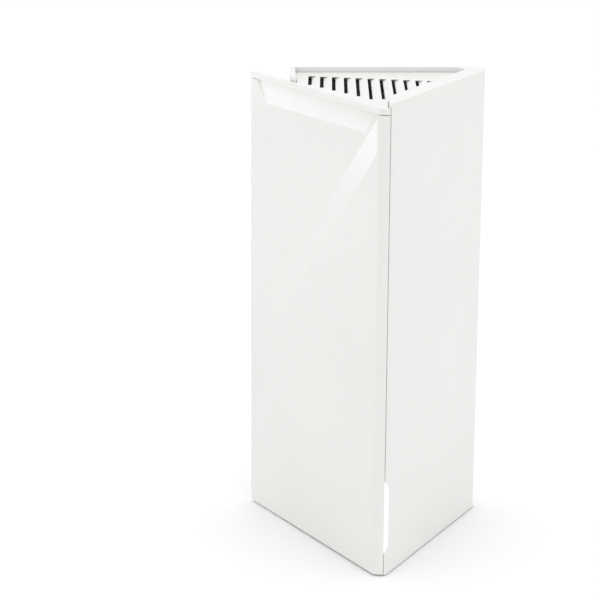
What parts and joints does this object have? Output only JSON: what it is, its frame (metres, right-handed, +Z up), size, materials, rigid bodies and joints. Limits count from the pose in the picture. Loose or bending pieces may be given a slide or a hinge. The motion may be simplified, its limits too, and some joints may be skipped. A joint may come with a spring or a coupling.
{
  "type": "wireless router",
  "caption": "Three-sided desktop tower router with a faceted front cover that runs on as a fin, a louvred sunken top, a light lens and a rear socket panel.",
  "frame": {"origin": "centre of the bounding box's bottom, on the plane the feet stand on", "axes": "+Z up; -Y towards the rounded front corner with the seam and the light lens; +Y out of the back wall with the sockets; +X to the right as seen from the front"},
  "size_m": [0.1052, 0.092, 0.209],
  "materials": {
    "white_plastic": "moulded white plastic with a fine matt texture, lightly sheened",
    "grey_plastic": "moulded light grey plastic, matt",
    "lens_plastic": "milky light-spreading plastic, smooth",
    "board_laminate": "green solder-masked glass-fibre laminate, semi-matt",
    "black_plastic": "black moulded plastic, matt",
    "steel": "plated sheet steel and machine screws, satin",
    "aluminium": "extruded or drawn aluminium, satin",
    "rubber": "soft grey rubber, matt",
    "pad_rubber": "grey silicone thermal pad, matt",
    "label_film": "blank off-white self-adhesive film, matt",
    "contact_brass": "gold-coloured contact metal, smooth"
  },
  "bodies": {
    "housing": {"left_cover": "white_plastic", "right_cover": "white_plastic", "top_vent_plate": "white_plastic", "base_plate": "white_plastic", "io_bezel": "grey_plastic", "inner_frame": "grey_plastic", "light_pipe": "lens_plastic", "status_lamp": "lens_plastic", "main_board": "board_laminate", "antenna_1": "board_laminate", "antenna_2": "board_laminate", "antenna_3": "board_laminate", "antenna_4": "board_laminate", "wan_jack_insert": "black_plastic", "lan_jack_1_insert": "black_plastic", "lan_jack_2_insert": "black_plastic", "dc_jack": "black_plastic", "pair_switch": "black_plastic", "reset_switch": "black_plastic", "main_chip": "black_plastic", "memory_chip": "black_plastic", "flash_chip": "black_plastic", "switch_chip": "black_plastic", "magnetics_1": "black_plastic", "magnetics_2": "black_plastic", "magnetics_3": "black_plastic", "inductor_1": "black_plastic", "inductor_2": "black_plastic", "antenna_lead_1": "black_plastic", "antenna_lead_2": "black_plastic", "antenna_lead_3": "black_plastic", "antenna_lead_4": "black_plastic", "wan_jack": "steel", "lan_jack_1": "steel", "lan_jack_2": "steel", "radio_shield_1": "steel", "radio_shield_2": "steel", "base_screw_1": "steel", "base_screw_2": "steel", "base_screw_3": "steel", "board_screw_1": "steel", "board_screw_2": "steel", "board_screw_3": "steel", "board_screw_4": "steel", "heat_sink": "aluminium", "capacitor_1": "aluminium", "capacitor_2": "aluminium", "capacitor_3": "aluminium", "foot_1": "rubber", "foot_2": "rubber", "foot_3": "rubber", "thermal_pad": "pad_rubber", "rating_label": "label_film", "dc_pin": "contact_brass"},
    "pair_button": {"pair_button": "grey_plastic", "pair_plunger": "steel"},
    "reset_button": {"reset_button": "grey_plastic", "reset_plunger": "steel"}
  },
  "joints": [
    {"name": "pair_press", "type": "slide", "parent": "housing", "child": "pair_button", "axis": [0, -1, 0], "range_m": [0, 0.0006], "stiffness_N_per_m": 700},
    {"name": "reset_press", "type": "slide", "parent": "housing", "child": "reset_button", "axis": [0, -1, 0], "range_m": [0, 0.0006], "stiffness_N_per_m": 700}
  ]
}
